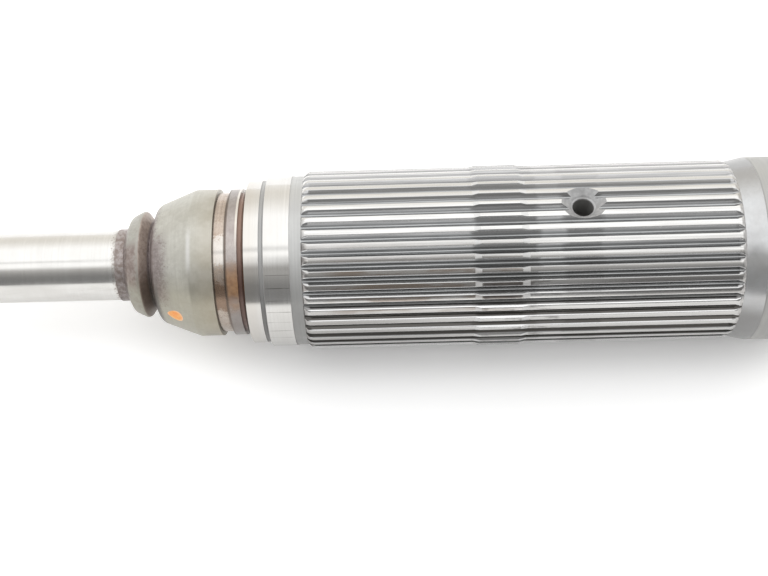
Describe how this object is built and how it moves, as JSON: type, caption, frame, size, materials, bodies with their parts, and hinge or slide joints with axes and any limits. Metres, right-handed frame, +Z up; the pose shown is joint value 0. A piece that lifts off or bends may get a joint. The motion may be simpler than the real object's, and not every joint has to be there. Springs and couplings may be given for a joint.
{
  "type": "transmission main shaft",
  "caption": "Stepped steel transmission main shaft: ground pilot journal, thrust collar, tapered head with oil grooves, ground lands, long fine spline with a radial oil hole, and a rear collar.",
  "frame": {"origin": "centre of the pilot journal's end face, on the shaft's axis", "axes": "+X along the shaft's axis from the pilot journal to the rear collar, +Z up through the radial oil hole"},
  "size_m": [0.2228, 0.0468, 0.0468],
  "materials": {
    "steel": "ground journal and lands, matte heat-treated head and collars, worn spline, rust stains in the neck and grooves"
  },
  "bodies": {
    "root": {"main_shaft": "steel"}
  },
  "joints": []
}
